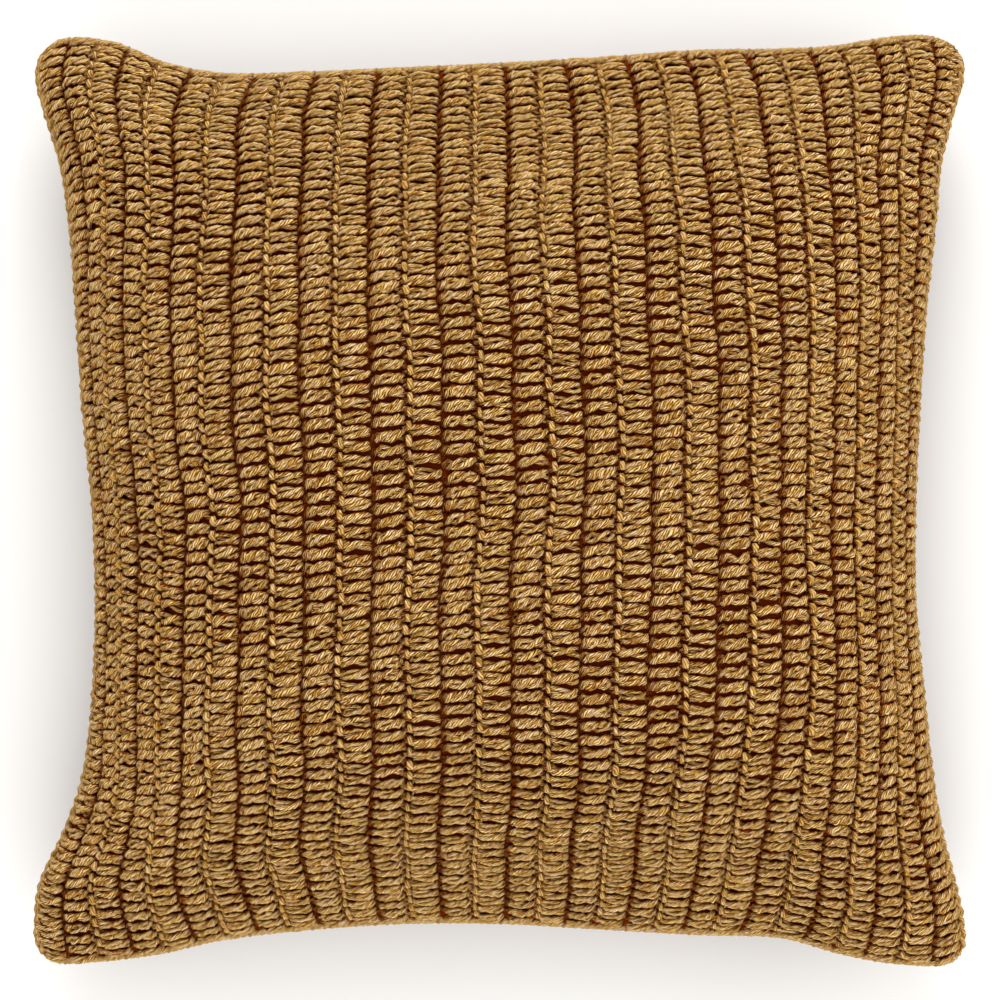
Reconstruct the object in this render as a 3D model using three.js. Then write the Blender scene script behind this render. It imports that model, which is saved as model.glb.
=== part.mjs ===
// A square crocheted throw cushion, filled and closed, lying on its back.
// Millimetres, +Z up. The rows of stitches run along Y, and the origin is the middle of the
// underside, on the surface that the cushion rests on.

import * as THREE from 'three';
import { mergeVertices } from 'three/addons/utils/BufferGeometryUtils.js';

// Driving dimensions
const earToEar = 540; // side of the square that the four ears just touch
const crownHeight = 102; // highest point of the upper face above the seam, less the rim's roundness
const bellyDepth = 79; // how far the lower face would hang below the seam if nothing bore it
const rimRoundness = 9; // half thickness of the two layers of crochet beside the seam
const seamHeight = 70; // height of the seam above the floor at the middle of a side
const earDroop = 14; // how much lower the seam lies at an ear
const earRounding = 0.07; // share of half a side over which an ear is rounded
const ribsFreeHeight = 6; // height above the floor at which the rows are no longer pressed flat

// The crown is full in the middle. It turns down steeply beside the outermost rows, and more
// gently towards the ends of the rows
const crownPower = 3;
const crownRoot = 0.55;
const endPower = 3.5;
const endRoot = 1.13;
const rimPower = 12;
const rimRoot = 0.5;
const earThinning = 0.4; // share of the crown that the filling leaves out of an ear
const bellyEarThinning = 0.7;
const earThinningPower = 4;
const bellySquareness = 6; // how square the belly is, from above

// Crochet: two rows make one repeat, with a sunk line between repeats
const repeatsAcross = 15;
const stepsAlong = 28;
const endCrowding = 0.2; // how much closer the sections stand at the ends of the rows
const stretchAcross = 0.25; // how much wider a row is in the middle of the face than on average
const stretchAlong = 0.23;
const stretchPower = 5;
const upperStretchFade = 2; // how late the stretch dies out towards a side, on each face
const lowerStretchFade = 8;

// Section across one repeat of two rows: at is the place in the repeat, sunk the depth below the ribs
const repeatSection = [
  { at: 0.0, sunk: 3.4 },
  { at: 0.12, sunk: 0.4 },
  { at: 0.38, sunk: 0.0 },
  { at: 0.5, sunk: 1.2 },
  { at: 0.62, sunk: 0.0 },
  { at: 0.88, sunk: 0.4 },
];

// How far each side lies inside the line through its ears. Along runs from -1 at one ear to 1 at
// the other: upwards in Y for the left and right sides, and along X for the bottom and top ones.
const pullIn = [
  { along: -1.0, left: 1, right: 0, bottom: 1, top: 3 },
  { along: -0.96, left: 1, right: 0.5, bottom: 1.5, top: 2.5 },
  { along: -0.9, left: 1, right: 1.5, bottom: 2.5, top: 2 },
  { along: -0.82, left: 3.5, right: 6, bottom: 4.5, top: 6 },
  { along: -0.72, left: 16, right: 13, bottom: 8.5, top: 17 },
  { along: -0.6, left: 28, right: 19, bottom: 16, top: 23 },
  { along: -0.42, left: 34.5, right: 24.5, bottom: 22, top: 22.5 },
  { along: -0.2, left: 36.5, right: 30, bottom: 26, top: 20 },
  { along: 0.0, left: 34.5, right: 30, bottom: 26, top: 17.5 },
  { along: 0.2, left: 29, right: 27.5, bottom: 23, top: 14.5 },
  { along: 0.42, left: 25, right: 23.5, bottom: 19.5, top: 10 },
  { along: 0.6, left: 21, right: 18, bottom: 17.5, top: 9 },
  { along: 0.72, left: 16, right: 15, bottom: 8.5, top: 7 },
  { along: 0.82, left: 8, right: 8.5, bottom: 3, top: 2.5 },
  { along: 0.9, left: 2, right: 2.5, bottom: 1, top: 0.5 },
  { along: 0.96, left: 2, right: 1.5, bottom: 0.5, top: 2 },
  { along: 1.0, left: 3, right: 2, bottom: 0, top: 2 },
];

const half = earToEar / 2;

// Slope of one column of the pull-in table at a row, from the rows beside it
function tableSlope(column, row) {
  const before = pullIn[Math.max(row - 1, 0)];
  const after = pullIn[Math.min(row + 1, pullIn.length - 1)];
  return (after[column] - before[column]) / (after.along - before.along);
}

// One column of the pull-in table as a smooth curve
function sidePull(column, along) {
  let row = 0;
  while (row < pullIn.length - 2 && along > pullIn[row + 1].along) row += 1;
  const from = pullIn[row];
  const to = pullIn[row + 1];
  const span = to.along - from.along;
  const t = (along - from.along) / span;
  const t2 = t * t;
  const t3 = t2 * t;
  return (
    from[column] * (2 * t3 - 3 * t2 + 1) +
    to[column] * (3 * t2 - 2 * t3) +
    span * tableSlope(column, row) * (t3 - 2 * t2 + t) +
    span * tableSlope(column, row + 1) * (t3 - t2)
  );
}

// Widens even shares from -1 to 1 in their middle, and crowds them at their ends
function spread(share, stretch) {
  return (1 + stretch) * share - stretch * share * Math.abs(share) ** (stretchPower - 1);
}

// Height of the filling from the seam to the middle, across one direction, as a share
function fullness(place, power = crownPower, root = crownRoot) {
  return Math.max(1 - Math.abs(place) ** power, 0) ** root;
}

function thinned(share, across, along, thinning) {
  return share * (1 - thinning * (across * along) ** earThinningPower);
}

function crown(across, along) {
  const share = fullness(across) * fullness(along, endPower, endRoot);
  return thinned(share, across, along, earThinning);
}

// The lower of the two fullnesses, with the crease between them rounded
function belly(across, along) {
  const lesser = Math.min(fullness(across), fullness(along));
  if (lesser === 0) return 0;
  const greater = Math.max(fullness(across), fullness(along));
  const share = lesser / (1 + (lesser / greater) ** bellySquareness) ** (1 / bellySquareness);
  return thinned(share, across, along, bellyEarThinning);
}

// Rises from 0 at the seam to 1 a little way inside it
function rim(across, along) {
  const rise = (1 - Math.abs(across) ** rimPower) * (1 - Math.abs(along) ** rimPower);
  return Math.max(rise, 0) ** rimRoot;
}

// Place on the face of the point that lies at a share of the rows and of the stitches
function facePlace(rowShare, stitchShare, upper) {
  const fade = upper ? upperStretchFade : lowerStretchFade;
  return {
    across: spread(rowShare, stretchAcross * (1 - stitchShare ** fade)),
    along: spread(stitchShare, stretchAlong * (1 - rowShare ** fade)),
  };
}

// Bends the corner of the square into an arc
function roundedEar({ across, along }) {
  const straight = 1 - earRounding;
  const u = Math.max(Math.abs(across) - straight, 0) / earRounding;
  const v = Math.max(Math.abs(along) - straight, 0) / earRounding;
  if (u === 0 || v === 0) return { across, along };
  return {
    across: Math.sign(across) * (straight + earRounding * u * Math.sqrt(1 - (v * v) / 2)),
    along: Math.sign(along) * (straight + earRounding * v * Math.sqrt(1 - (u * u) / 2)),
  };
}

// A point of the plain cushion, before its rows are sunk
function surfacePoint({ across, along }, upper) {
  const rounded = roundedEar({ across, along });
  const left = sidePull('left', along) - half;
  const right = half - sidePull('right', along);
  const bottom = sidePull('bottom', across) - half;
  const top = half - sidePull('top', across);
  const x = (left + right) / 2 + (rounded.across * (right - left)) / 2;
  const y = (bottom + top) / 2 + (rounded.along * (top - bottom)) / 2;
  const seam = seamHeight - earDroop * (across * along) ** 2;
  const edge = rimRoundness * rim(across, along);
  const above = seam + crownHeight * crown(across, along) + edge;
  const below = seam - bellyDepth * belly(across, along) - edge;
  return new THREE.Vector3(x, y, upper ? above : Math.max(below, 0));
}

// Shares of the rows at which the face is sampled, with how far each is sunk
function rowSamples() {
  const samples = [];
  const first = -repeatsAcross / 2;
  for (let repeat = Math.floor(first); repeat <= -first; repeat += 1) {
    for (const { at, sunk } of repeatSection) {
      const share = (repeat + at) / (repeatsAcross / 2);
      if (Math.abs(share) <= 1) samples.push({ share, sunk });
    }
  }
  return samples;
}

// Both faces as grids of points that meet along the seam
function cushionGeometry() {
  const rows = rowSamples();
  const width = rows.length;
  const points = [];
  const depths = [];
  const triangles = [];
  for (const upper of [true, false]) {
    const start = points.length;
    for (let j = 0; j <= stepsAlong; j += 1) {
      const stitchShare = spread((2 * j) / stepsAlong - 1, endCrowding);
      for (const { share, sunk } of rows) {
        const place = facePlace(share, stitchShare, upper);
        points.push(surfacePoint(place, upper));
        depths.push(sunk * rim(place.across, place.along));
      }
    }
    for (let j = 0; j < stepsAlong; j += 1) {
      for (let i = 0; i < width - 1; i += 1) {
        const a = start + j * width + i;
        const b = a + 1;
        const c = a + width;
        const d = c + 1;
        if (upper) triangles.push(a, b, d, a, d, c);
        else triangles.push(a, d, b, a, c, d);
      }
    }
  }
  const geometry = new THREE.BufferGeometry().setFromPoints(points);
  geometry.setAttribute('sunk', new THREE.Float32BufferAttribute(depths, 1));
  geometry.setIndex(triangles);
  return mergeVertices(geometry);
}

// Sinks the lines between the rows of stitches, but not where the cushion is pressed flat
function sinkRows(geometry) {
  geometry.computeVertexNormals();
  const position = geometry.getAttribute('position');
  const normal = geometry.getAttribute('normal');
  const sunk = geometry.getAttribute('sunk');
  for (let i = 0; i < position.count; i += 1) {
    const height = position.getZ(i);
    const free = THREE.MathUtils.smoothstep(height, 0, ribsFreeHeight);
    const depth = sunk.getX(i) * free;
    position.setXYZ(
      i,
      position.getX(i) - depth * normal.getX(i),
      position.getY(i) - depth * normal.getY(i),
      height - depth * normal.getZ(i),
    );
  }
  geometry.deleteAttribute('sunk');
  return geometry;
}

// Puts the origin under the middle of the cushion's box
function centred(geometry) {
  geometry.computeBoundingBox();
  const { min, max } = geometry.boundingBox;
  geometry.translate(-(min.x + max.x) / 2, -(min.y + max.y) / 2, -min.z);
  geometry.computeVertexNormals();
  return geometry;
}

const yarn = new THREE.MeshStandardMaterial({ color: 0x8b6336, roughness: 0.85, metalness: 0 });
const cushion = new THREE.Mesh(centred(sinkRows(cushionGeometry())), yarn);
cushion.name = 'cushion';

const group = new THREE.Group();
group.add(cushion);

export default group;
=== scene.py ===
"""A crocheted throw cushion, lying on its back and seen straight from above.

The cushion is a filled lining, coloured dark red-brown as painted shade for the deep gaps, under two
faces of tall crochet stitches. Each stitch is made of its own twisted strands of yarn, laid over the
lining row by row.
"""

import bpy
import numpy as np
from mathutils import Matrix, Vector


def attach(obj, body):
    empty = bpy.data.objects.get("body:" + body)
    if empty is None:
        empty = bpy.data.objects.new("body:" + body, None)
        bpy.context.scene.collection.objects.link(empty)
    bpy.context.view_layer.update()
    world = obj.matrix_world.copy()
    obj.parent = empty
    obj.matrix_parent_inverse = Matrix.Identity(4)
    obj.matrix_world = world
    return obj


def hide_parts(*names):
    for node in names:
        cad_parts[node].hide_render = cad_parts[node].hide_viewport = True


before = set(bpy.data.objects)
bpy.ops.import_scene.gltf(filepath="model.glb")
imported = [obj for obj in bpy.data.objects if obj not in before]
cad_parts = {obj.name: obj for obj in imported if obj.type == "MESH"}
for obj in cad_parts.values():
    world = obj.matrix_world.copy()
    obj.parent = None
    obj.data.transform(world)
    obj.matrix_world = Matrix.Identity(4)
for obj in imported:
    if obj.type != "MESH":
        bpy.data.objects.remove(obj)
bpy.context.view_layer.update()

MM = 0.001
TURN = 2 * np.pi

# The cushion's form, in metres, as its solid has it
EAR_TO_EAR = 0.540
HALF = EAR_TO_EAR / 2
CROWN_HEIGHT = 0.102
BELLY_DEPTH = 0.079
RIM_ROUNDNESS = 0.009
SEAM_HEIGHT = 0.070
EAR_DROOP = 0.014
EAR_ROUNDING = 0.07
CROWN_POWER = 3
CROWN_ROOT = 0.55
END_POWER = 3.5
END_ROOT = 1.13
RIM_POWER = 12
RIM_ROOT = 0.5
EAR_THINNING = 0.4
BELLY_EAR_THINNING = 0.7
EAR_THINNING_POWER = 4
BELLY_SQUARENESS = 6
STRETCH_ACROSS = 0.25
STRETCH_ALONG = 0.23
STRETCH_POWER = 5
UPPER_STRETCH_FADE = 2
LOWER_STRETCH_FADE = 8

# How far each side lies inside the line through its ears, in millimetres, at places from one ear,
# at -1, to the other, at 1
PULL_COLUMNS = ("along", "left", "right", "bottom", "top")
PULL_IN = np.array([
    (-1.00, 1, 0, 1, 3),
    (-0.96, 1, 0.5, 1.5, 2.5),
    (-0.90, 1, 1.5, 2.5, 2),
    (-0.82, 3.5, 6, 4.5, 6),
    (-0.72, 16, 13, 8.5, 17),
    (-0.60, 28, 19, 16, 23),
    (-0.42, 34.5, 24.5, 22, 22.5),
    (-0.20, 36.5, 30, 26, 20),
    (0.00, 34.5, 30, 26, 17.5),
    (0.20, 29, 27.5, 23, 14.5),
    (0.42, 25, 23.5, 19.5, 10),
    (0.60, 21, 18, 17.5, 9),
    (0.72, 16, 15, 8.5, 7),
    (0.82, 8, 8.5, 3, 2.5),
    (0.90, 2, 2.5, 1, 0.5),
    (0.96, 2, 1.5, 0.5, 2),
    (1.00, 3, 2, 0, 2),
])

# The crochet: rows run along Y, and two of them make one repeat across
REPEATS = 15
STITCHES = 78
HALF_REPEATS = REPEATS / 2
NOMINAL_PITCH = 7.4 * MM
SAMPLES_PER_REPEAT = 8
SAMPLES_PER_STITCH = 4
ARC_SAMPLES = 900

# The lining under the crochet, and the cloth that it is blown up as
LINING_DEPTH = 5.4 * MM
SEAM_LINING_DEPTH = 2.0 * MM
LINING_STEPS_PER_REPEAT = 4
LINING_STEPS_PER_STITCH = 0.5
SWELL_PRESSURE = 4
SWELL_FRAMES = 20
SWELL_LIMIT = 5 * MM
SWELL_START = 0.3 * CROWN_HEIGHT
CLOTH_QUALITY = 6
CLOTH_MASS = 0.3
CLOTH_STRETCH = 12
CLOTH_SHEAR = 6
CLOTH_BENDING = 0.6
WELD_STEP = 0.001 * MM

# Paths of the yarn's middle through one stitch. Across is in repeats from the sunk line, along is
# in stitches, and height is in millimetres below the tops of the ribs
NEAR_POST = np.array([
    (-0.054, -0.18, -7.4),
    (-0.032, -0.17, -6.2),
    (0.002, -0.15, -5.3),
    (0.042, -0.11, -4.2),
    (0.088, -0.06, -2.7),
    (0.172, -0.03, -2.0),
    (0.290, 0.00, -2.0),
    (0.372, 0.03, -2.4),
    (0.424, 0.05, -4.0),
    (0.456, 0.06, -6.6),
])
FAR_POST = np.array([
    (-0.605, 0.36, -7.0),
    (-0.570, 0.33, -4.8),
    (-0.512, 0.25, -5.0),
    (-0.440, 0.09, -3.8),
    (-0.366, 0.01, -2.3),
    (-0.270, 0.00, -2.0),
    (-0.164, 0.00, -2.0),
    (-0.092, -0.01, -2.6),
    (-0.056, -0.02, -4.0),
    (-0.040, -0.03, -6.2),
])
CHAIN_GRAIN = np.array([
    (-0.460, -0.28, -5.6),
    (-0.467, -0.16, -2.4),
    (-0.476, 0.03, -1.1),
    (-0.486, 0.22, -2.4),
    (-0.492, 0.34, -5.6),
])
SIDE_GRAIN = np.array([
    (-0.440, -0.24, -4.4),
    (-0.420, -0.10, -2.7),
    (-0.400, 0.08, -2.6),
    (-0.385, 0.20, -4.4),
])
FAR_POST_SHIFT = 0.33
CHAIN_SHIFT = -0.42
SIDE_SHIFT = 0.10

# The strands of a post turn about its path: how far out, up and to the sides, and through how
# many turns from the start to the end. They thin and draw together towards the two ends
STRAND_RADIUS = 1.65 * MM
STRAND_RISE = 1.0 * MM
STRAND_SPREAD = 2.3 * MM
STRAND_FLATNESS = 0.75
NEAR_TWIST = (-0.10, 1.65)
FAR_TWIST = (-0.63, 0.36)
END_TAPER = 0.7
END_TAPER_POWER = 6
END_CLOSING = 0.7
END_CLOSING_POWER = 4
CAP_BULGE = 0.4

# The upright grains of the chain and beside it, tucked away in the last stitches of a row
CHAIN_RADIUS = 2.05 * MM
CHAIN_FLATNESS = 0.9
SIDE_RADIUS = 1.1 * MM
GRAIN_TAPER = 0.4
GRAIN_TUCK = 3.0 * MM
TUCKED_STITCHES = 1.5

# Strands follow the length of a stitch by this power, within these limits
PITCH_POWER = 0.6
LEAST_SCALE = 0.78
MOST_SCALE = 1.08

# The depth below the ribs at which painted shade darkens yarn the most, and half the room of a post
# along its row, in stitches, over which painted shade sets in towards the next post. A grain has so
# much room that it never gets painted shade towards the next one
FULL_DEPTH = 6 * MM
POST_ROOM = 0.5
GRAIN_ROOM = 20

# How far the rows of the upper face stand to the right of their even places, in repeats. Each
# line starts with its place up the face, and its other columns are for the places across it
SHIFT_PLACES = (-1, -0.8, -0.5, 0, 0.5, 0.8, 1)
ROW_SHIFT = np.array([
    (-1.00, 0, 0.18, 0.16, 0.08, -0.18, -0.18, 0),
    (-0.75, 0, 0.15, 0.16, 0.14, -0.12, -0.13, 0),
    (-0.60, 0, 0.04, 0.06, 0.11, -0.05, -0.04, 0),
    (-0.45, 0, -0.07, -0.03, 0.06, 0.01, 0.02, 0),
    (-0.20, 0, 0.02, 0.07, 0.09, 0.08, 0.02, 0),
    (0.00, 0, 0.10, 0.19, 0.17, 0.07, 0.00, 0),
    (0.25, 0, 0.08, 0.16, 0.17, 0.09, 0.00, 0),
    (0.50, 0, 0.00, 0.07, 0.09, 0.01, 0.00, 0),
    (0.75, 0, 0.02, 0.11, 0.12, -0.05, 0.00, 0),
    (1.00, 0, 0.00, 0.06, 0.06, -0.10, 0.00, 0),
])

# Slow wandering of the stitches over a face, in repeats across and stitches along
SWAY = 0.016
DRIFT = 0.35
SWAY_WAVES = ((0.031, 0.11), (0.079, -0.23))
DRIFT_WAVES = ((0.013, 0.045), (0.034, -0.09))
HOLD_POWER = 6

# Where stitches that reach past the seam are bent back, in repeats and in stitches
SIDE_MARGIN = 0.12
END_MARGIN = 0.5
STEEP_THINNING = 0.2
SHOULDER_FILLING = 0.14

# Posts are drawn out to the side seams and stay high there: over what width, in repeats, how
# strongly, and how high, in millimetres
SEAM_REACH = 0.14
SEAM_DRAW = 4
SEAM_POST_HEIGHT = -2.3

# Small differences from stitch to stitch
PLACE_JITTER = 0.008
STITCH_JITTER = 0.035
TWIST_JITTER = 0.07
GIRTH_JITTER = 0.13
STRAND_WAVER = 0.4 * MM

# Twisted edging beside the seam at the ends of the rows, and on the seam up the sides. Steps are
# the rings and the sides of a strand
EDGE_STEPS = (17, 5)
EDGE_TURNS = 5
EDGE_RADIUS = 1.3 * MM
EDGE_ORBIT = 0.9 * MM
EDGE_DEPTH = 2.0 * MM
EDGE_PLACE = 0.22
SEAM_STEPS = (235, 5)
SEAM_TURNS = 39
SEAM_RADIUS = 1.6 * MM
SEAM_ORBIT = 1.1 * MM
SEAM_DEPTH = 2.4 * MM
SEAM_END = 0.3
# Painted shade on the edging strands, as an even depth mark and more of it on the sunk line, and the
# width of that line
EDGE_SHADE_DEPTH = 0.3
EDGE_SUNK = 0.25
SUNK_LINE_WIDTH = 0.045
UPWARD = np.array([0.0, 0.0, 1.0])

# How far the yarn's plies go in one turn, and how many there are
PLY_LEAD = 17 * MM
PLIES = 7.0

# The tone of a post's strand is a random share, and a grain's is raised by this
GRAIN_TONE = 2.0

# The map in which every strand has a cell of its own
MAP_COLUMNS = 16
MAP_MARGIN = 0.06

RANDOM_SEED = 17

# The view: the photograph's scale at the height of the ears, and where the cushion lies in it
PIXEL = 0.5775 * MM
FRAME_PIXELS = 1000
OBJECT_MIDDLE = (500.0, 500.7)
CAMERA_HEIGHT = 4.0
SENSOR = 36.0
FLOOR_HALF = 4.0

# Soft square lights: name, place and size in metres, and power in watts
LIGHTS = (
    ("key", (-0.1, 2.2, 1.4), 1.4, 43),
    ("front", (-0.1, -2.4, 1.8), 2.5, 51),
    ("side", (2.3, 0.2, 1.5), 1.6, 17),
)
SKY_STRENGTH = 0.79


def column(name):
    """One column of the pull-in table, in metres, or its places."""
    values = PULL_IN[:, PULL_COLUMNS.index(name)]
    return values if name == "along" else values * MM


def side_pull(name, place):
    """One column of the pull-in table as a smooth curve."""
    along, pull = column("along"), column(name)
    before = np.maximum(np.arange(len(along)) - 1, 0)
    after = np.minimum(np.arange(len(along)) + 1, len(along) - 1)
    slope = (pull[after] - pull[before]) / (along[after] - along[before])
    row = np.clip(np.searchsorted(along, place) - 1, 0, len(along) - 2)
    span = along[row + 1] - along[row]
    t = (place - along[row]) / span
    start = pull[row] * (2 * t**3 - 3 * t**2 + 1) + span * slope[row] * (t**3 - 2 * t**2 + t)
    end = pull[row + 1] * (3 * t**2 - 2 * t**3) + span * slope[row + 1] * (t**3 - t**2)
    return start + end


def spread(share, stretch):
    """Widens even shares in their middle and crowds them at their ends."""
    return (1 + stretch) * share - stretch * share * np.abs(share) ** (STRETCH_POWER - 1)


def fullness(place, power=CROWN_POWER, root=CROWN_ROOT):
    return np.maximum(1 - np.abs(place) ** power, 0) ** root


def thinned(share, across, along, thinning):
    return share * (1 - thinning * (across * along) ** EAR_THINNING_POWER)


def crown(across, along):
    share = fullness(across) * fullness(along, END_POWER, END_ROOT)
    return thinned(share, across, along, EAR_THINNING)


def belly(across, along):
    """The lower of the two fullnesses, with the crease between them rounded."""
    lesser = np.minimum(fullness(across), fullness(along))
    greater = np.maximum(np.maximum(fullness(across), fullness(along)), 1e-9)
    rounded = (1 + (lesser / greater) ** BELLY_SQUARENESS) ** (1 / BELLY_SQUARENESS)
    return thinned(lesser / rounded, across, along, BELLY_EAR_THINNING)


def rim(across, along):
    rise = (1 - np.abs(across) ** RIM_POWER) * (1 - np.abs(along) ** RIM_POWER)
    return np.maximum(rise, 0) ** RIM_ROOT


def rounded_ear(across, along):
    """Bends the corners of the square into arcs."""
    straight = 1 - EAR_ROUNDING
    u = np.maximum(np.abs(across) - straight, 0) / EAR_ROUNDING
    v = np.maximum(np.abs(along) - straight, 0) / EAR_ROUNDING
    arc_across = np.sign(across) * (straight + EAR_ROUNDING * u * np.sqrt(1 - v**2 / 2))
    arc_along = np.sign(along) * (straight + EAR_ROUNDING * v * np.sqrt(1 - u**2 / 2))
    return np.where(u > 0, arc_across, across), np.where(v > 0, arc_along, along)


def surface(row_share, stitch_share, upper):
    """Points of the plain cushion at shares of its rows and of their stitches."""
    fade = UPPER_STRETCH_FADE if upper else LOWER_STRETCH_FADE
    across = spread(row_share, STRETCH_ACROSS * (1 - np.abs(stitch_share) ** fade))
    along = spread(stitch_share, STRETCH_ALONG * (1 - np.abs(row_share) ** fade))
    left = side_pull("left", along) - HALF
    right = HALF - side_pull("right", along)
    bottom = side_pull("bottom", across) - HALF
    top = HALF - side_pull("top", across)
    rounded_across, rounded_along = rounded_ear(across, along)
    x = (left + right) / 2 + rounded_across * (right - left) / 2
    y = (bottom + top) / 2 + rounded_along * (top - bottom) / 2
    seam = SEAM_HEIGHT - EAR_DROOP * (across * along) ** 2
    edge = RIM_ROUNDNESS * rim(across, along)
    if upper:
        z = seam + CROWN_HEIGHT * crown(across, along) + edge
    else:
        z = np.maximum(seam - BELLY_DEPTH * belly(across, along) - edge, 0)
    return np.stack([x, y, z], axis=-1)


def even_stitch_shares(row_share, steps, upper):
    """Shares along one row at which its stitches lie the same distance apart."""
    shares = np.linspace(-1, 1, ARC_SAMPLES)
    points = surface(np.full_like(shares, row_share), shares, upper)
    lengths = np.linalg.norm(np.diff(points, axis=0), axis=1)
    travelled = np.concatenate([[0], np.cumsum(lengths)])
    return np.interp(np.linspace(0, travelled[-1], steps + 1), travelled, shares)


def unit(vectors):
    return vectors / np.maximum(np.linalg.norm(vectors, axis=-1, keepdims=True), 1e-12)


class Face:
    """One face of the cushion as a grid over its rows and stitches."""

    def __init__(self, upper, per_repeat, per_stitch):
        self.upper = upper
        self.per_repeat = per_repeat
        self.per_stitch = per_stitch
        rows = np.linspace(-1, 1, REPEATS * per_repeat + 1)
        steps = int(STITCHES * per_stitch)
        shares = np.stack([even_stitch_shares(row, steps, upper) for row in rows])
        self.points = surface(rows[:, None] + 0 * shares, shares, upper)
        self.measure()

    def measure(self):
        """Directions across and along the rows, outward normals and the length of a stitch."""
        across = np.gradient(self.points, axis=0) * self.per_repeat
        along = np.gradient(self.points, axis=1) * self.per_stitch
        outward = np.cross(across, along) * (1 if self.upper else -1)
        self.across = unit(across)
        self.along = unit(along)
        self.normal = unit(outward)
        self.steady_ears()
        self.pitch = np.linalg.norm(along, axis=-1, keepdims=True)

    def steady_ears(self):
        """Takes the normals at the very tips of the ears from a little way inside them."""
        rows = self.per_repeat // 4
        steps = max(int(self.per_stitch), 1)
        for tip_rows, row in ((slice(None, rows), rows), (slice(-rows, None), -rows - 1)):
            for tip_steps, step in ((slice(None, steps), steps), (slice(-steps, None), -steps - 1)):
                self.normal[tip_rows, tip_steps] = self.normal[row, step]

    def sample(self, table, repeat, stitch):
        """A table's values at places between the samples, by straight mixing."""
        i = np.clip((repeat + HALF_REPEATS) * self.per_repeat, 0, table.shape[0] - 1.001)
        j = np.clip(stitch * self.per_stitch, 0, table.shape[1] - 1.001)
        i0 = i.astype(int)
        j0 = j.astype(int)
        past_i = (i - i0)[..., None]
        past_j = (j - j0)[..., None]
        near = table[i0, j0] * (1 - past_j) + table[i0, j0 + 1] * past_j
        far = table[i0 + 1, j0] * (1 - past_j) + table[i0 + 1, j0 + 1] * past_j
        return near * (1 - past_i) + far * past_i


def grid_quads(rows, steps, start, flipped):
    """Faces of a grid of points that is stored row by row."""
    i, j = np.meshgrid(np.arange(rows - 1), np.arange(steps - 1), indexing="ij")
    a = start + i * steps + j
    quads = np.stack([a, a + steps, a + steps + 1, a + 1], axis=-1).reshape(-1, 4)
    return quads[:, ::-1] if flipped else quads


def weld(points, faces):
    """Joins points in the same place, and says where each point went."""
    keys = np.round(points / WELD_STEP).astype(np.int64)
    _, first, back = np.unique(keys, axis=0, return_index=True, return_inverse=True)
    return points[first], back.reshape(-1)[faces], back.reshape(-1)


def new_mesh(name, points, quads, triangles=()):
    """A smooth mesh object from arrays of points, quads and triangles."""
    mesh = bpy.data.meshes.new(name)
    triangles = np.asarray(triangles, dtype=np.int64).reshape(-1, 3)
    loops = np.concatenate([quads.reshape(-1), triangles.reshape(-1)])
    totals = np.concatenate([np.full(len(quads), 4), np.full(len(triangles), 3)])
    starts = np.concatenate([[0], np.cumsum(totals)[:-1]])
    mesh.vertices.add(len(points))
    mesh.vertices.foreach_set("co", points.astype(np.float32).reshape(-1))
    mesh.loops.add(len(loops))
    mesh.loops.foreach_set("vertex_index", loops.astype(np.int32))
    mesh.polygons.add(len(totals))
    mesh.polygons.foreach_set("loop_start", starts.astype(np.int32))
    mesh.update(calc_edges=True)
    mesh.shade_smooth()
    obj = bpy.data.objects.new(name, mesh)
    bpy.context.scene.collection.objects.link(obj)
    return obj


def lining_mesh(faces):
    """The closed form under the crochet, and where each grid point went in it."""
    points = []
    quads = []
    start = 0
    for face in faces:
        rows, steps = face.points.shape[:2]
        points.append(face.points.reshape(-1, 3))
        quads.append(grid_quads(rows, steps, start, not face.upper))
        start += rows * steps
    points, quads, back = weld(np.concatenate(points), np.concatenate(quads))
    lining = new_mesh("cushion_lining", points, quads)
    normals = np.empty(len(points) * 3, dtype=np.float32)
    lining.data.vertices.foreach_get("normal", normals)
    on_seam = np.bincount(back) > 1
    depth = np.where(on_seam, SEAM_LINING_DEPTH, LINING_DEPTH)
    sunk = points - depth[:, None] * normals.reshape(-1, 3)
    sunk[:, 2] = np.maximum(sunk[:, 2], LINING_DEPTH)
    set_points(lining.data, sunk)
    return lining, back


def set_points(mesh, points):
    mesh.vertices.foreach_set("co", points.astype(np.float32).reshape(-1))
    mesh.update()


def get_points(mesh):
    points = np.empty(len(mesh.vertices) * 3, dtype=np.float32)
    mesh.vertices.foreach_get("co", points)
    return points.reshape(-1, 3).astype(float)


def swell(lining):
    """Blows the filling up a little as cloth, and returns how far each point moved."""
    rest = get_points(lining.data)
    cloth = lining.modifiers.new("Cloth", "CLOTH")
    settings = cloth.settings
    settings.quality = CLOTH_QUALITY
    settings.mass = CLOTH_MASS
    settings.tension_stiffness = CLOTH_STRETCH
    settings.compression_stiffness = CLOTH_STRETCH
    settings.shear_stiffness = CLOTH_SHEAR
    settings.bending_stiffness = CLOTH_BENDING
    settings.use_pressure = True
    settings.uniform_pressure_force = SWELL_PRESSURE
    settings.effector_weights.gravity = 0
    cloth.collision_settings.use_collision = False
    scene = bpy.context.scene
    for number in range(1, SWELL_FRAMES + 1):
        scene.frame_set(number)
    blown = lining.evaluated_get(bpy.context.evaluated_depsgraph_get())
    moved = get_points(blown.to_mesh()) - rest
    blown.to_mesh_clear()
    lining.modifiers.remove(cloth)
    scene.frame_set(1)
    return held_swell(rest, moved)


def held_swell(rest, moved):
    """Caps the swelling, and keeps the seam's outline and the flat underside."""
    length = np.linalg.norm(moved, axis=1, keepdims=True)
    moved = moved * SWELL_LIMIT / (SWELL_LIMIT + length)
    above_seam = np.clip((rest[:, 2] - SEAM_HEIGHT) / SWELL_START, 0, 1)
    return moved * above_seam[:, None]


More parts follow.
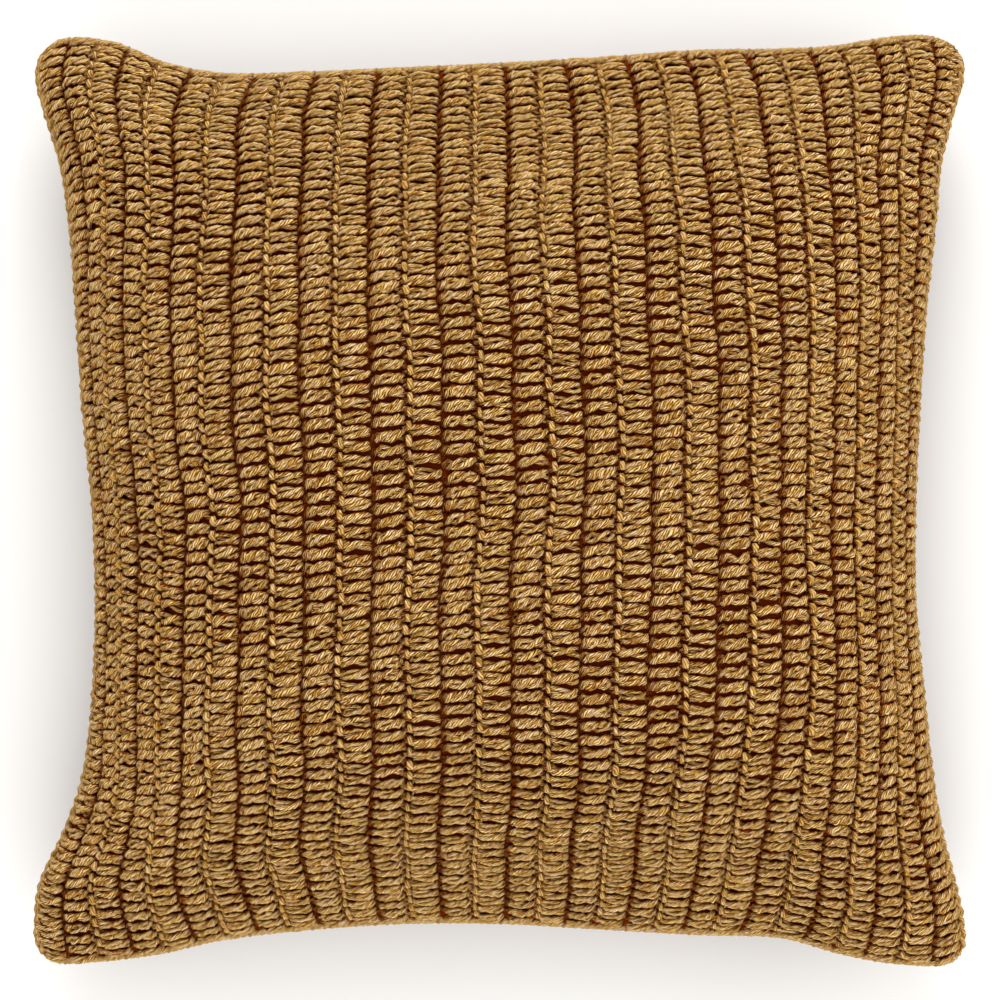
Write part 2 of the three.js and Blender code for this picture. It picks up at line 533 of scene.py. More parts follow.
def swell_table(moved, back, faces):
    """The swelling as a table for each face's grid."""
    tables = []
    start = 0
    for face in faces:
        rows, steps = face.points.shape[:2]
        chosen = back[start:start + rows * steps]
        tables.append(moved[chosen].reshape(rows, steps, 3))
        start += rows * steps
    return tables


def fine_face(coarse, table):
    """The face's fine grid with the lining's swelling added."""
    face = Face(coarse.upper, SAMPLES_PER_REPEAT, SAMPLES_PER_STITCH)
    rows, steps = face.points.shape[:2]
    repeat = np.linspace(-HALF_REPEATS, HALF_REPEATS, rows)[:, None]
    stitch = np.linspace(0, STITCHES, steps)[None, :]
    repeat, stitch = np.broadcast_arrays(repeat, stitch)
    face.points = face.points + coarse.sample(table, repeat, stitch)
    face.measure()
    return face


def along_path(path, rings):
    """Places evenly spread along a path table, as columns across, along and height."""
    knots = np.linspace(0, 1, len(path))
    at = np.linspace(0, 1, rings)
    return [smooth_curve(knots, values, at) for values in path.T]


def smooth_curve(knots, values, at):
    """A smooth curve through a column of values."""
    slope = np.gradient(values, knots)
    row = np.clip(np.searchsorted(knots, at) - 1, 0, len(knots) - 2)
    span = knots[row + 1] - knots[row]
    t = (at - knots[row]) / span
    start = values[row] * (2 * t**3 - 3 * t**2 + 1) + span * slope[row] * (t**3 - 2 * t**2 + t)
    end = values[row + 1] * (3 * t**2 - 2 * t**3) + span * slope[row + 1] * (t**3 - t**2)
    return start + end


def tube_quads(rings, sides):
    """The faces round one strand."""
    i, j = np.meshgrid(np.arange(rings - 1) * sides, np.arange(sides), indexing="ij")
    beside = (j + 1) % sides
    return np.stack([i + j, i + sides + j, i + sides + beside, i + beside], -1).reshape(1, -1, 4)


def cap_triangles(rings, sides):
    """The faces from a strand's first and last rings to its two tips."""
    here = np.arange(sides)
    beside = (here + 1) % sides
    last_ring = (rings - 1) * sides
    first_tip = np.full(sides, rings * sides)
    first = np.stack([here, beside, first_tip], -1)
    last = np.stack([last_ring + beside, last_ring + here, first_tip + 1], -1)
    return np.concatenate([first, last]).reshape(1, -1, 3)


def ply_turns(length, ring, turn):
    """How far the plies have turned at face corners, and where round the strand those are."""
    travelled = length[:, ring]
    turn = np.broadcast_to(turn, travelled.shape)
    return np.stack([travelled / PLY_LEAD, turn], -1).reshape(-1, 2)


class Yarn:
    """Gathers strands, and makes them into one mesh with the marks that its material reads."""

    def __init__(self):
        self.points = []
        self.quads = []
        self.triangles = []
        self.turns = []
        self.marks = {"tone": [], "depth": [], "gap": [], "steep": []}
        self.cells = []
        self.count = 0
        self.strands = 0

    def sweep(self, middle, side, radius, sides, marks, flatness=1.0):
        """Adds a batch of strands along middles of shape (strands, rings, 3)."""
        strands, rings = middle.shape[:2]
        forward = unit(np.gradient(middle, axis=1))
        sideways = unit(side - np.sum(side * forward, -1, keepdims=True) * forward)
        outward = np.cross(forward, sideways)
        angle = (np.arange(sides) / sides - 0.5) * TURN
        circle = (
            flatness * np.cos(angle)[:, None] * outward[:, :, None, :]
            + np.sin(angle)[:, None] * sideways[:, :, None, :]
        )
        ring = middle[:, :, None, :] + radius[:, :, None, None] * circle
        bulge = np.array([-CAP_BULGE, CAP_BULGE])[:, None]
        tips = middle[:, [0, -1]] + forward[:, [0, -1]] * bulge * radius[:, [0, -1], None]
        self.points.append(np.concatenate([ring.reshape(strands, -1, 3), tips], axis=1))
        block = rings * sides + 2
        start = (self.count + np.arange(strands) * block)[:, None, None]
        self.quads.append((start + tube_quads(rings, sides)).reshape(-1, 4))
        self.triangles.append((start + cap_triangles(rings, sides)).reshape(-1, 3))
        # How near each point lies to the next stitch, which sets the painted shade between stitches
        beside = marks["lean"][..., None] + radius[..., None] * np.sin(angle)
        gap = np.abs(beside) / marks["room"][..., None]
        self.mark_points((strands, rings, sides), marks, gap)
        self.mark_corners(middle, sides)
        self.count += strands * block
        self.strands += strands

    def mark_points(self, shape, marks, gap):
        """Keeps the marks of each point: a batch's rings first, then its two tips."""
        def spread_out(values):
            values = np.broadcast_to(values, shape)
            body = values.reshape(shape[0], -1)
            return np.concatenate([body, values[:, [0, -1], 0]], axis=1).reshape(-1)
        self.marks["depth"].append(spread_out(marks["depth"][:, :, None]))
        self.marks["steep"].append(spread_out(marks["steep"][:, :, None]))
        self.marks["tone"].append(spread_out(marks["tone"][:, None, None]))
        self.marks["gap"].append(spread_out(gap))

    def mark_corners(self, middle, sides):
        """Keeps each face corner's way along and round its strand, in the two maps."""
        strands, rings = middle.shape[:2]
        length = np.linalg.norm(np.diff(middle, axis=1), axis=-1)
        length = np.concatenate([np.zeros((strands, 1)), np.cumsum(length, axis=1)], axis=1)
        i, j = np.meshgrid(np.arange(rings - 1), np.arange(sides), indexing="ij")
        ring = np.stack([i, i + 1, i + 1, i], -1).reshape(-1)
        turn = np.stack([j, j, j + 1, j + 1], -1).reshape(-1) / sides
        side_at = np.arange(sides)
        first = np.stack([side_at, side_at + 1, side_at + 0.5], -1).reshape(-1)
        last = np.stack([side_at + 1, side_at, side_at + 0.5], -1).reshape(-1)
        cap_ring = np.repeat([0, rings - 1], 3 * sides)
        cap_turn = np.concatenate([first, last]) / sides
        self.turns.append((ply_turns(length, ring, turn), ply_turns(length, cap_ring, cap_turn)))
        cell = np.stack([(ring + 1) / (rings + 1), turn], -1)
        tip = np.tile([1, 1, 0], sides) / (rings + 1)
        cap_cell = np.stack([np.concatenate([tip, 1 - tip]), cap_turn], -1)
        index = self.strands + np.arange(strands)
        self.cells.append((index, cell, cap_cell))

    def corner_places(self):
        """A place of its own in the unit square for every face corner."""
        rows = int(np.ceil(self.strands / MAP_COLUMNS))

        def placed(index, cell):
            origin = np.stack([index % MAP_COLUMNS, index // MAP_COLUMNS], -1)[:, None, :]
            inner = MAP_MARGIN + (1 - 2 * MAP_MARGIN) * cell[None, :, :]
            return ((origin + inner) / np.array([MAP_COLUMNS, rows])).reshape(-1, 2)
        quads = [placed(index, cell) for index, cell, _ in self.cells]
        caps = [placed(index, cap) for index, _, cap in self.cells]
        return np.concatenate(quads + caps)

    def finish(self, name, material):
        """Makes the mesh, with its two maps and its marks."""
        points = np.concatenate([block.reshape(-1, 3) for block in self.points])
        points[:, 2] = np.maximum(points[:, 2], 0)
        obj = new_mesh(name, points, np.concatenate(self.quads), np.concatenate(self.triangles))
        mesh = obj.data
        turns = np.concatenate([q for q, _ in self.turns] + [c for _, c in self.turns])
        for label, values in (("Yarn", turns), ("OFBake", self.corner_places())):
            layer = mesh.uv_layers.new(name=label)
            layer.data.foreach_set("uv", values.astype(np.float32).reshape(-1))
        for label, blocks in self.marks.items():
            layer = mesh.attributes.new(label, "FLOAT", "POINT")
            layer.data.foreach_set("value", np.concatenate(blocks).astype(np.float32))
        mesh.materials.append(material)
        return obj


class Stitcher:
    """Lays the strands of one row of stitches over a face of the cushion."""

    def __init__(self, face, random):
        self.face = face
        self.random = random
        self.way = 1 if face.upper else -1
        self.offsets = random.random(4)

    def jitter(self, spread_by):
        return self.random.normal(0, spread_by, (STITCHES, 1))

    def waver(self, rings):
        """A small wave of its own in each strand."""
        loose = self.random.normal(0, STRAND_WAVER, (STITCHES, rings + 2))
        return ((loose[:, :-2] + loose[:, 1:-1] + loose[:, 2:]) / 3)[..., None]

    def wander(self, place, stitch):
        """How far the stitches at these places stray, across in repeats and along in stitches."""
        row = place / HALF_REPEATS
        step = 2 * stitch / STITCHES - 1
        hold = np.clip(1 - row**HOLD_POWER, 0, 1) * np.clip(1 - step**HOLD_POWER, 0, 1)

        def waved(height, waves, offsets):
            total = 0
            for (along, across), offset in zip(waves, offsets):
                turns = stitch * along + place * across + offset
                total = total + height * np.sin(TURN * turns)
            return total
        sway = waved(SWAY, SWAY_WAVES, self.offsets[:2])
        drift = waved(DRIFT, DRIFT_WAVES, self.offsets[2:])
        shift = row_shift(row, step) if self.face.upper else 0
        return sway * hold + shift, drift * hold

    def places(self, line, shift, across, along):
        """Where the points of one strand lie in every stitch, in repeats and in stitches."""
        place = line + self.way * across[None, :] + self.jitter(PLACE_JITTER)
        stitch = np.arange(STITCHES)[:, None] + 0.5 + shift + self.jitter(STITCH_JITTER)
        stitch = stitch + along[None, :]
        sway, drift = self.wander(place, stitch)
        place = drawn_to_seam(kept_inside(place + sway, HALF_REPEATS, SIDE_MARGIN))
        middle = STITCHES / 2
        return place, middle + kept_inside(stitch + drift - middle, middle, END_MARGIN)

    def twisted(self, part, rings, strand):
        """How far one strand rises and leans from the middle of its post."""
        start, end = part["twist"]
        phase = start + (end - start) * np.linspace(0, 1, rings)[None, :] + strand
        phase = ((phase + self.jitter(TWIST_JITTER)) * TURN)[..., None]
        closed = closing(rings)[None, :, None]
        rise = part["rise"] * closed * np.cos(phase) + self.waver(rings)
        lean = part["spread"] * closed * np.sin(phase) + self.waver(rings)
        return rise, lean

    def lay(self, yarn, line, part, rings, sides, strand=0.0):
        """One strand of every stitch along a line of the crochet."""
        across, along, height = along_path(part["path"], rings)
        place, stitch = self.places(line, part["shift"], across, along)
        face = self.face
        normal = face.sample(face.normal, place, stitch)
        side = face.sample(face.along, place, stitch)
        cross = face.sample(face.across, place, stitch) * self.way
        pitch = face.sample(face.pitch, place, stitch)
        scale = strand_scale(pitch, side, cross)
        rise, lean = self.twisted(part, rings, strand)
        height = raised_at_seam(height[None, :], place)[..., None] * MM
        lift = (height + rise) * scale - part["tuck"] * at_row_end(stitch)
        middle = face.sample(face.points, place, stitch) + normal * lift + side * lean * scale
        girth = part["radius"] * (1 + self.jitter(GIRTH_JITTER)) * scale[..., 0]
        girth = girth * taper(rings, part["upright"])
        steep = 1 - np.abs(normal[..., 2])
        marks = {
            "tone": self.random.random(STITCHES) + (GRAIN_TONE if part["upright"] else 0),
            # Painted shade low down: by depth below the ribs, and on steep places along the sunk
            # line
            "depth": np.clip(-lift[..., 0] / FULL_DEPTH + sunk_line(across) * steep, 0, 1),
            "lean": (lean * scale)[..., 0],
            "room": pitch[..., 0] * (GRAIN_ROOM if part["upright"] else POST_ROOM),
            "steep": steep,
        }
        guide = -cross if part["upright"] else side
        yarn.sweep(middle, unit(guide), girth, sides, marks, part["flatness"])

    def edge(self, yarn, line, at, strand):
        """One strand of the edging across a repeat, beside the seam at an end of the rows."""
        rings, sides = EDGE_STEPS
        across = np.linspace(-0.5, 0.5, rings)
        place = kept_inside(line + across, HALF_REPEATS, SIDE_MARGIN)[None, :]
        stitch = np.full_like(place, at)
        face = self.face
        normal = face.sample(face.normal, place, stitch)
        side = face.sample(face.along, place, stitch)
        phase = TURN * (EDGE_TURNS * np.linspace(0, 1, rings) + strand)[None, :, None]
        lift = EDGE_ORBIT * np.cos(phase) - EDGE_DEPTH
        middle = face.sample(face.points, place, stitch) + normal * lift
        middle = middle + side * EDGE_ORBIT * np.sin(phase)
        marks = self.edge_marks(rings)
        # More painted shade on the edging where it crosses the sunk line
        marks["depth"] = marks["depth"] + EDGE_SUNK * sunk_line(across)
        yarn.sweep(middle, side, np.full((1, rings), EDGE_RADIUS), sides, marks)

    def seam(self, yarn, end, strand):
        """One strand of the edging up a side, on the seam itself."""
        rings, sides = SEAM_STEPS
        stitch = np.linspace(SEAM_END, STITCHES - SEAM_END, rings)[None, :]
        place = np.full_like(stitch, end * HALF_REPEATS)
        face = self.face
        side = face.sample(face.along, place, stitch)
        outward = end * unit(np.cross(side, UPWARD))
        phase = TURN * (SEAM_TURNS * np.linspace(0, 1, rings) + strand)[None, :, None]
        orbit = SEAM_ORBIT + self.random.normal(0, STRAND_WAVER / 2, (1, rings, 1))
        middle = face.sample(face.points, place, stitch) - outward * SEAM_DEPTH
        middle = middle + outward * orbit * np.cos(phase) + UPWARD * orbit * np.sin(phase)
        girth = np.full((1, rings), SEAM_RADIUS)
        yarn.sweep(middle, UPWARD - 0 * middle, girth, sides, self.edge_marks(rings))

    def edge_marks(self, rings):
        """Marks of a strand that lies high and by itself, with an even share of painted shade."""
        return {
            "tone": self.random.random(1),
            "depth": np.full((1, rings), EDGE_SHADE_DEPTH),
            "lean": np.zeros((1, rings)),
            "room": np.ones((1, rings)),
            "steep": np.ones((1, rings)),
        }


def strand_scale(pitch, side, cross):
    """How thick strands are drawn: with the stitches' pitch, and with the slope along and across."""
    scale = np.clip((pitch / NOMINAL_PITCH) ** PITCH_POWER, LEAST_SCALE, MOST_SCALE)
    scale = scale * (1 - STEEP_THINNING * np.abs(side[..., 2:]))
    return scale * (1 + SHOULDER_FILLING * np.abs(cross[..., 2:]))


def raised_at_seam(height, place):
    """Keeps what is drawn out to a side seam from sinking there."""
    reached = np.clip((np.abs(place) - HALF_REPEATS) / SEAM_REACH + 1, 0, 1)
    return height + reached * np.maximum(SEAM_POST_HEIGHT - height, 0)


def at_row_end(stitch):
    """Rises to 1 over the last stitches at both ends of a row."""
    past = np.abs(stitch - STITCHES / 2) - STITCHES / 2
    return np.clip(past + TUCKED_STITCHES, 0, 1)[..., None]


def sunk_line(across):
    """1 on the sunk line between two rows, and nothing a little way from it."""
    return np.exp(-(across / SUNK_LINE_WIDTH) ** 2)


def row_shift(row, step):
    """How far the rows of the upper face stand to the right, at shares of rows and stitches."""
    shift = 0
    for number in range(len(SHIFT_PLACES)):
        along = smooth_curve(ROW_SHIFT[:, 0], ROW_SHIFT[:, number + 1], step)
        share = np.interp(row, SHIFT_PLACES, np.arange(len(SHIFT_PLACES)) == number)
        shift = shift + along * share
    return shift


def kept_inside(place, limit, margin):
    """Bends what would pass a limit on either side back to it, ever more slowly."""
    past = np.maximum(np.abs(place) - (limit - margin), 0)
    kept = np.where(past > 0, limit - margin * np.exp(-past / margin), np.abs(place))
    return np.sign(place) * kept


def drawn_to_seam(place):
    """Draws what ends just short of a side seam out to it."""
    short = (HALF_REPEATS - np.abs(place)) / SEAM_REACH
    drawn = HALF_REPEATS - SEAM_REACH * np.clip(short, 0, 1) ** SEAM_DRAW
    return np.where(short < 1, np.sign(place) * drawn, place)


def taper(rings, upright):
    """Thins a strand towards its two ends, and an upright grain into a spindle."""
    at = np.linspace(-1, 1, rings)
    if upright:
        return 1 - (1 - GRAIN_TAPER) * at**2
    return 1 - (1 - END_TAPER) * at**END_TAPER_POWER


def closing(rings):
    """Brings the strands of a post together at its ends."""
    at = np.linspace(-1, 1, rings)
    return 1 - (1 - END_CLOSING) * np.abs(at) ** END_CLOSING_POWER


# What one stitch is made of
POST = dict(rise=STRAND_RISE, spread=STRAND_SPREAD, radius=STRAND_RADIUS,
            flatness=STRAND_FLATNESS, upright=False, tuck=0)
GRAIN = dict(twist=(0, 0), rise=0, spread=0, upright=True, tuck=GRAIN_TUCK)
NEAR = dict(POST, path=NEAR_POST, shift=0, twist=NEAR_TWIST)
FAR = dict(POST, path=FAR_POST, shift=FAR_POST_SHIFT, twist=FAR_TWIST)
CHAIN = dict(GRAIN, path=CHAIN_GRAIN, shift=CHAIN_SHIFT, radius=CHAIN_RADIUS,
             flatness=CHAIN_FLATNESS)
SIDE = dict(GRAIN, path=SIDE_GRAIN, shift=SIDE_SHIFT, radius=SIDE_RADIUS, flatness=1)

# Rings and sides of each strand, finer on the upper face
UPPER_STEPS = {"near": (9, 5), "far": (8, 5), "chain": (5, 5), "side": (4, 4)}
LOWER_STEPS = {"near": (6, 4), "far": (5, 4), "chain": (4, 4)}
UPPER_STRANDS = 3
LOWER_STRANDS = 2


def crochet_row(stitcher, name, line, steps, material):
    """The stitches on both sides of one sunk line, with the chain beside them."""
    yarn = Yarn()
    strands = UPPER_STRANDS if stitcher.face.upper else LOWER_STRANDS
    for strand in range(strands):
        stitcher.lay(yarn, line, NEAR, *steps["near"], strand / strands)
        stitcher.lay(yarn, line, FAR, *steps["far"], strand / strands)
    outermost = HALF_REPEATS - 0.5
    if line != -stitcher.way * outermost:
        stitcher.lay(yarn, line, CHAIN, *steps["chain"])
        if "side" in steps:
            stitcher.lay(yarn, line, SIDE, *steps["side"])
    for strand in range(2):
        stitcher.edge(yarn, line, EDGE_PLACE, strand / 2)
        stitcher.edge(yarn, line, STITCHES - EDGE_PLACE, strand / 2)
        if stitcher.face.upper and abs(line) == outermost:
            stitcher.seam(yarn, np.sign(line), strand / 2)
    row = yarn.finish(name, material)
    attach(row, "root")
    return row


def crochet_face(face, label, steps, material, random):
    stitcher = Stitcher(face, random)
    rows = []
    for number in range(REPEATS):
        line = number - (REPEATS - 1) / 2
        rows.append(crochet_row(stitcher, f"{label}_{number + 1:02d}", line, steps, material))
    return rows


def linear(red, green, blue):
    """A colour given in display values from 0 to 255, by the sRGB curve."""
    display = np.array([red, green, blue]) / 255
    low = display / 12.92
    high = ((display + 0.055) / 1.055) ** 2.4
    return tuple(np.where(display <= 0.04045, low, high)) + (1.0,)


class Graph:
    """Short ways to add nodes to a material."""

    def __init__(self, name):
        self.material = bpy.data.materials.new(name)
        self.material.use_nodes = True
        self.tree = self.material.node_tree
        self.shader = self.tree.nodes["Principled BSDF"]

    def node(self, kind, inputs=(), **settings):
        node = self.tree.nodes.new(kind)
        for key, value in settings.items():
            setattr(node, key, value)
        for key, value in dict(inputs).items():
            self.put(node.inputs[key], value)
        return node

    def put(self, socket, value):
        if isinstance(value, bpy.types.NodeSocket):
            self.tree.links.new(value, socket)
        else:
            socket.default_value = value

    def math(self, operation, *values, clamp=False):
        inputs = dict(enumerate(values))
        return self.node("ShaderNodeMath", inputs, operation=operation, use_clamp=clamp).outputs[0]

    def scaled(self, value, factor, offset):
        """A value times a factor, plus an offset."""
        return self.math("MULTIPLY_ADD", value, factor, offset)

    def centred(self, share):
        """A share moved to lie evenly about 0."""
        return self.scaled(share, 1.0, -0.5)

    def product(self, first, *others):
        for other in others:
            first = self.math("MULTIPLY", first, other)
        return first

    def blend(self, share, first, second, kind="MIX"):
        node = self.node("ShaderNodeMix", data_type="RGBA", blend_type=kind)
        for number, value in ((0, share), (6, first), (7, second)):
            self.put(node.inputs[number], value)
        return node.outputs[2]

    def ramp(self, share, tones):
        """A run of colours, from (place, colour) pairs."""
        node = self.node("ShaderNodeValToRGB", {"Fac": share})
        points = node.color_ramp.elements
        while len(points) < len(tones):
            points.new(0.5)
        for point, (place, colour) in zip(points, tones):
            point.position = place
            point.color = colour
        return node.outputs["Color"]

    def rise(self, value, limits):
        """A share that rises from 0 to 1 between two values."""
        inputs = {"Value": value, "From Min": limits[0], "From Max": limits[1]}
        return self.node("ShaderNodeMapRange", inputs).outputs[0]

    def attribute(self, name):
        return self.node("ShaderNodeAttribute", attribute_name=name).outputs["Fac"]

    def join(self, x, y, z):
        return self.node("ShaderNodeCombineXYZ", {"X": x, "Y": y, "Z": z}).outputs[0]

    def noise(self, vector, scale, detail=2.0):
        inputs = {"Vector": vector, "Scale": scale, "Detail": detail}
        return self.node("ShaderNodeTexNoise", inputs).outputs["Fac"]

    def bump(self, height, strength, distance):
        """Raises the shading by a height, over at most a distance in metres."""
        inputs = {"Height": height, "Strength": strength, "Distance": distance}
        self.put(self.shader.inputs["Normal"], self.node("ShaderNodeBump", inputs).outputs[0])

    def finish(self, colour, roughness, gloss):
        self.put(self.shader.inputs["Base Color"], colour)
        self.put(self.shader.inputs["Roughness"], roughness)
        self.put(self.shader.inputs["Specular IOR Level"], gloss)
        return self.material


# From the grooves between the plies to their crests: the dark end is partly painted shade in the
# grooves, the pale end partly painted highlight on the crests
YARN_TONES = (
    (0.0, linear(60, 18, 0)),
    (0.28, linear(120, 54, 0)),
    (0.55, linear(170, 116, 50)),
    (0.78, linear(213, 170, 110)),
    (1.0, linear(242, 210, 168)),
)

# Painted shade: how yarn darkens and reddens low in the sunk lines, on a strand's sides and between
# two stitches
LOW_SHADE = linear(150, 102, 66)
SIDE_SHADE = linear(174, 116, 26)
GAP_SHADE = linear(164, 92, 14)
# What the yarn's tone is multiplied by where it is more golden
GOLDEN = linear(252, 250, 192)

# Where each of those sets in: by depth, by turns from the outward side, by the way to the next
# stitch and by a noise over the cushion
LOW_LIMITS = (0.38, 0.75)
SIDE_LIMITS = (0.08, 0.28)
GAP_LIMITS = (0.68, 0.98)
GOLDEN_LIMITS = (0.38, 0.62)
GOLDEN_SCALE = 420.0
SIDE_SHARE = 0.85
GRAIN_SIDE_SHARE = 0.45
STEEP_SIDE_LOSS = 0.7
GAP_STREAK = -0.8
GAP_WOBBLE = 0.5

# How the plies waver, and how many streaks lie across one ply and along one turn of the plies
WOBBLE_SCALE = 280.0
PLY_WOBBLE = 1.2
STREAKS_ACROSS = 1.3
STREAKS_ALONG = 7.0
PHASE_BY_TONE = 9.0
STREAKS_BY_TONE = 60.0

# What makes a place pale: painted highlight on the crest of its ply against painted shade in its
# grooves, its streak and its ply, and painted highlight on the raised, plainer grains. Steep places
# are plainer too, and paler between the grains with painted light
CREST_LIMITS = (0.0, 0.65)
GROOVE_LIGHT = -0.71
STREAK_LIGHT = 1.5
PLY_LIGHT = 0.35
BASE_LIGHT = 0.52
STEEP_LIGHT = 0.18
GRAIN_LIGHT = 0.14
STEEP_GRAIN_LOSS = 0.2
GRAIN_PLAINNESS = 0.5
STEEP_PLAINNESS = 0.5

YARN_ROUGHNESS = 0.55
STREAK_ROUGHNESS = 0.25
PLY_BUMP = 1.0
PLY_HEIGHT = 0.7 * MM

# The lining's dark red-brown is painted shade, standing for the depth between the stitches
LINING_SHADE_TONES = (linear(84, 20, 0), linear(114, 40, 4))
LINING_ROUGHNESS = 0.95
WEAVE_SCALE = 900.0
WEAVE_BUMP = 0.5
WEAVE_HEIGHT = 0.3 * MM

FLOOR_TONES = (linear(238, 237, 235), linear(244, 243, 241))
FLOOR_ROUGHNESS = 0.9
FLOOR_GLOSS = 0.5
FLOOR_SCALE = 3.0


def ply_crest(graph, phase):
    """0 in the grooves between the plies, and 1 along the middle of each."""
    within = graph.math("FRACT", phase)
    crest = graph.product(within, graph.math("SUBTRACT", 1.0, within))
    return graph.product(crest, 4.0)


def ply_share(graph, phase, tone):
    """A random share for each ply of each strand."""
    number = graph.math("FLOOR", phase)
    ply = graph.node("ShaderNodeTexWhiteNoise", noise_dimensions="2D")
    graph.put(ply.inputs["Vector"], graph.join(number, tone, 0.0))
    return ply.outputs["Value"]


def ply_streaks(graph, phase, travelled, tone):
    """Streaks along the plies."""
    place = graph.join(graph.product(phase, STREAKS_ACROSS),
                       graph.product(travelled, STREAKS_ALONG),
                       graph.product(tone, STREAKS_BY_TONE))
    return graph.noise(place, 1.0, 1.0)


def yarn_light(graph, crest, streak, ply, grain, steep):
    """How pale the yarn is, from 0 to 1, partly painted light: highlight on crests and grains, shade
    in grooves, paler steep places.
    """
    light = graph.scaled(graph.rise(crest, CREST_LIMITS), 1.0, GROOVE_LIGHT)
    light = graph.scaled(graph.centred(streak), STREAK_LIGHT, light)
    light = graph.scaled(graph.centred(ply), PLY_LIGHT, light)
    plain = graph.product(graph.scaled(grain, -GRAIN_PLAINNESS, 1.0),
                          graph.scaled(steep, -STEEP_PLAINNESS, 1.0))
    raised = graph.product(grain, graph.scaled(steep, -STEEP_GRAIN_LOSS, GRAIN_LIGHT))
    base = graph.scaled(steep, STEEP_LIGHT, BASE_LIGHT)
    unlit = graph.math("ADD", raised, base)
    return graph.math("ADD", graph.product(light, plain), unlit, clamp=True)


def side_share(graph, turn, grain, steep):
    """How far a place is round towards a strand's sides, as the share of painted shade there."""
    away = graph.math("ABSOLUTE", graph.math("SUBTRACT", turn, 0.5))
    return graph.product(graph.rise(away, SIDE_LIMITS),
                         graph.scaled(steep, -STEEP_SIDE_LOSS, 1.0),
                         graph.scaled(grain, GRAIN_SIDE_SHARE, SIDE_SHARE))


def gap_share(graph, gap, streak, wobble):
    """How close a place is to the next stitch, with a frayed limit, as the share of painted shade
    between stitches.
    """
    frayed = graph.scaled(graph.centred(streak), GAP_STREAK, gap)
    frayed = graph.scaled(wobble, GAP_WOBBLE, frayed)
    return graph.rise(frayed, GAP_LIMITS)


def yarn_material():
    """Gold yarn of fine plies, with painted highlight on the plies' crests and painted shade, brown,
    between and beneath them.
    """
    graph = Graph("crochet_yarn")
    uv = graph.node("ShaderNodeUVMap", uv_map="Yarn").outputs[0]
    parts = graph.node("ShaderNodeSeparateXYZ", {"Vector": uv}).outputs
    travelled = parts[0]
    turn = parts[1]
    place = graph.node("ShaderNodeTexCoord").outputs["Object"]
    tone = graph.attribute("tone")
    steep = graph.attribute("steep")
    grain = graph.math("GREATER_THAN", tone, GRAIN_TONE - 0.5)

    wobble = graph.centred(graph.noise(place, WOBBLE_SCALE, 0.0))
    phase = graph.math("SUBTRACT", turn, travelled)
    phase = graph.scaled(phase, PLIES, graph.product(tone, PHASE_BY_TONE))
    phase = graph.scaled(wobble, PLY_WOBBLE, phase)
    crest = ply_crest(graph, phase)
    streak = ply_streaks(graph, phase, travelled, tone)
    ply = ply_share(graph, phase, tone)

    body = graph.ramp(yarn_light(graph, crest, streak, ply, grain, steep), YARN_TONES)
    golden = graph.rise(graph.noise(place, GOLDEN_SCALE, 1.0), GOLDEN_LIMITS)
    low = graph.rise(graph.attribute("depth"), LOW_LIMITS)
    beside = side_share(graph, turn, grain, steep)
    between = gap_share(graph, graph.attribute("gap"), streak, wobble)
    for share, colour in ((golden, GOLDEN), (low, LOW_SHADE), (beside, SIDE_SHADE),
                          (between, GAP_SHADE)):
        body = graph.blend(share, body, colour, "MULTIPLY")
    graph.bump(crest, PLY_BUMP, PLY_HEIGHT)
    return graph.finish(body, graph.scaled(streak, STREAK_ROUGHNESS, YARN_ROUGHNESS), 0.0)


def lining_material():
    """Cloth coloured dark brown as painted shade, seen only in the gaps between the stitches."""
    graph = Graph("lining_cloth")
    place = graph.node("ShaderNodeTexCoord").outputs["Object"]
    weave = graph.noise(place, WEAVE_SCALE)
    graph.bump(weave, WEAVE_BUMP, WEAVE_HEIGHT)
    return graph.finish(graph.blend(weave, *LINING_SHADE_TONES), LINING_ROUGHNESS, 0.0)


def floor_material():
    graph = Graph("pale_floor")
    place = graph.node("ShaderNodeTexCoord").outputs["Object"]
    grain = graph.noise(place, FLOOR_SCALE)
    return graph.finish(graph.blend(grain, *FLOOR_TONES), FLOOR_ROUGHNESS, FLOOR_GLOSS)


def stage_floor():
    corners = np.array([(-1, -1, 0), (1, -1, 0), (1, 1, 0), (-1, 1, 0)]) * FLOOR_HALF
    floor = new_mesh("floor", corners, np.array([[0, 1, 2, 3]]))
    floor.data.materials.append(floor_material())
    return floor


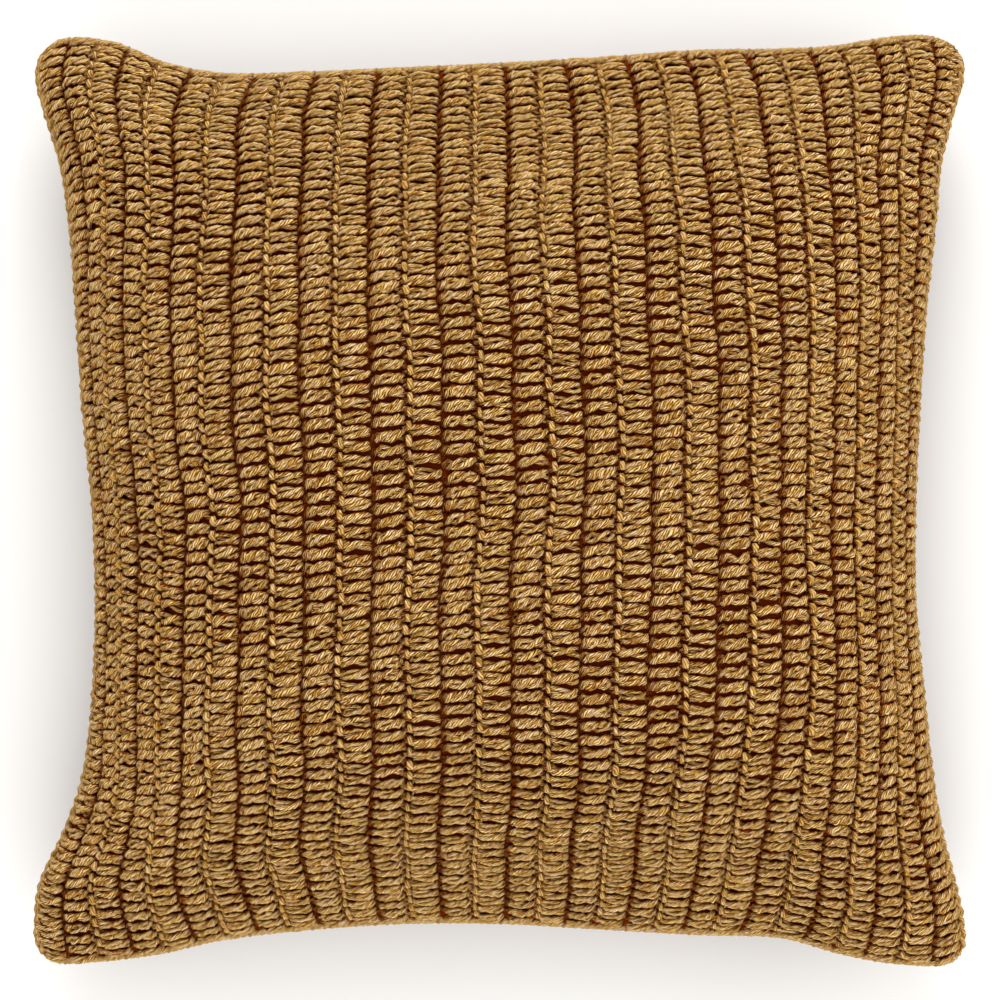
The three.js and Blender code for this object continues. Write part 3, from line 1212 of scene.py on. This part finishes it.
def add_camera():
    """Looks straight down, with the photograph's scale at the height of the ears."""
    data = bpy.data.cameras.new("camera")
    data.sensor_width = SENSOR
    data.lens = SENSOR * CAMERA_HEIGHT / (FRAME_PIXELS * PIXEL)
    camera = bpy.data.objects.new("camera", data)
    x = (FRAME_PIXELS / 2 - OBJECT_MIDDLE[0]) * PIXEL
    y = (OBJECT_MIDDLE[1] - FRAME_PIXELS / 2) * PIXEL
    camera.location = (x, y, SEAM_HEIGHT - EAR_DROOP + CAMERA_HEIGHT)
    bpy.context.scene.collection.objects.link(camera)
    bpy.context.scene.camera = camera


def add_light(name, place, size, power):
    """A soft square light that faces the cushion."""
    data = bpy.data.lights.new(name, "AREA")
    data.size = size
    data.energy = power
    light = bpy.data.objects.new(name, data)
    light.location = place
    direction = Vector((0, 0, SEAM_HEIGHT)) - light.location
    light.rotation_euler = direction.to_track_quat("-Z", "Y").to_euler()
    light.visible_camera = False
    bpy.context.scene.collection.objects.link(light)


def add_lights():
    for name, place, size, power in LIGHTS:
        add_light(name, place, size, power)
    world = bpy.data.worlds.new("studio")
    world.use_nodes = True
    background = world.node_tree.nodes["Background"]
    background.inputs["Color"].default_value = (1, 1, 1, 1)
    background.inputs["Strength"].default_value = SKY_STRENGTH
    bpy.context.scene.world = world
    bpy.context.scene.view_settings.view_transform = "Standard"


def make_lining():
    """The filled form under the crochet, and the two faces to lay the crochet on."""
    coarse = [Face(upper, LINING_STEPS_PER_REPEAT, LINING_STEPS_PER_STITCH)
              for upper in (True, False)]
    lining, back = lining_mesh(coarse)
    moved = swell(lining)
    set_points(lining.data, get_points(lining.data) + moved)
    tables = swell_table(moved, back, coarse)
    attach(lining, "root")
    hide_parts("cushion")
    lining.data.materials.append(lining_material())
    return [fine_face(face, table) for face, table in zip(coarse, tables)]


def main():
    random = np.random.default_rng(RANDOM_SEED)
    add_camera()
    add_lights()
    stage_floor()
    upper, lower = make_lining()
    material = yarn_material()
    crochet_face(upper, "crochet_upper", UPPER_STEPS, material, random)
    crochet_face(lower, "crochet_lower", LOWER_STEPS, material, random)


main()
